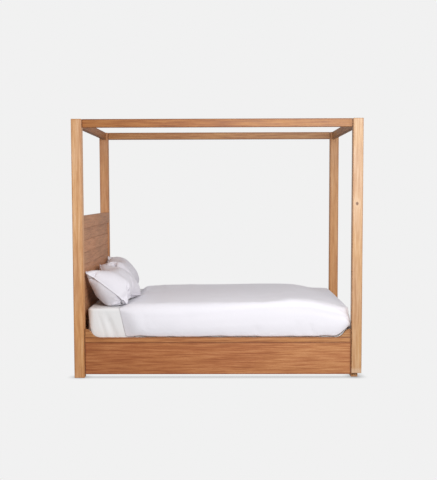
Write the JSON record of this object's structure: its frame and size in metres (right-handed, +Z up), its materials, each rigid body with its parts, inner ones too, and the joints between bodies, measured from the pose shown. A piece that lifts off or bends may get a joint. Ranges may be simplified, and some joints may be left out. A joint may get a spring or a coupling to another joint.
{
  "type": "four poster canopy bed",
  "caption": "Timber four poster bed with square posts, an open canopy frame, a boarded headboard, deep side rails, a slatted base, and a mattress, duvet and pillows.",
  "frame": {"origin": "on the floor, under the middle of the frame", "axes": "+X from the head of the bed to its foot, +Y to the right as seen from the foot, +Z up"},
  "size_m": [2.22, 1.638, 1.99],
  "materials": {
    "post_wood": "clear satin lacquer, upright grain",
    "rail_wood": "clear satin lacquer, grain along the length",
    "panel_wood": "clear satin lacquer, brushed level grain",
    "headboard_wood": "clear satin lacquer, level grain",
    "slat_wood": "planed and unfinished",
    "steel": "satin black paint",
    "glide_plastic": "moulded, matte",
    "sheet_cotton": "plain woven cotton",
    "duvet_cotton": "plain woven cotton, soft",
    "pillow_cotton": "plain woven cotton, soft"
  },
  "bodies": {
    "frame": {"beam_hanger_foot": "steel", "beam_hanger_head": "steel", "canopy_rail_foot": "rail_wood", "canopy_rail_head": "rail_wood", "canopy_rail_left": "rail_wood", "canopy_rail_right": "rail_wood", "centre_beam": "slat_wood", "centre_leg_1": "slat_wood", "centre_leg_2": "slat_wood", "corner_bracket_foot_left": "rail_wood", "corner_bracket_foot_right": "rail_wood", "corner_bracket_head_left": "rail_wood", "corner_bracket_head_right": "rail_wood", "duvet": "duvet_cotton", "foot_block_left": "post_wood", "foot_block_right": "post_wood", "foot_panel": "panel_wood", "foot_panel_cap": "rail_wood", "headboard_board_1": "headboard_wood", "headboard_board_2": "headboard_wood", "headboard_board_3": "headboard_wood", "headboard_board_4": "headboard_wood", "headboard_board_5": "headboard_wood", "headboard_board_6": "headboard_wood", "headboard_board_7": "headboard_wood", "headboard_board_8": "headboard_wood", "headboard_board_9": "headboard_wood", "headboard_lower_rail": "headboard_wood", "headboard_top_rail": "headboard_wood", "mattress": "sheet_cotton", "pillow_left": "pillow_cotton", "pillow_right": "pillow_cotton", "post_foot_left": "post_wood", "post_foot_right": "post_wood", "post_head_left": "post_wood", "post_head_right": "post_wood", "rail_angle_foot_left": "steel", "rail_angle_foot_right": "steel", "rail_angle_head_left": "steel", "rail_angle_head_right": "steel", "side_rail_cap_left": "rail_wood", "side_rail_cap_right": "rail_wood", "side_rail_left": "panel_wood", "side_rail_right": "panel_wood", "slat_1": "slat_wood", "slat_10": "slat_wood", "slat_11": "slat_wood", "slat_12": "slat_wood", "slat_2": "slat_wood", "slat_3": "slat_wood", "slat_4": "slat_wood", "slat_5": "slat_wood", "slat_6": "slat_wood", "slat_7": "slat_wood", "slat_8": "slat_wood", "slat_9": "slat_wood", "slat_ledger_left": "slat_wood", "slat_ledger_right": "slat_wood"},
    "foot_1": {"levelling_foot_1": "glide_plastic"},
    "foot_2": {"levelling_foot_2": "glide_plastic"}
  },
  "joints": [
    {"name": "levelling_foot_1_travel", "type": "slide", "parent": "frame", "child": "foot_1", "axis": [0, 0, -1], "range_m": [0, 0.012]},
    {"name": "levelling_foot_2_travel", "type": "slide", "parent": "frame", "child": "foot_2", "axis": [0, 0, -1], "range_m": [0, 0.012]}
  ]
}
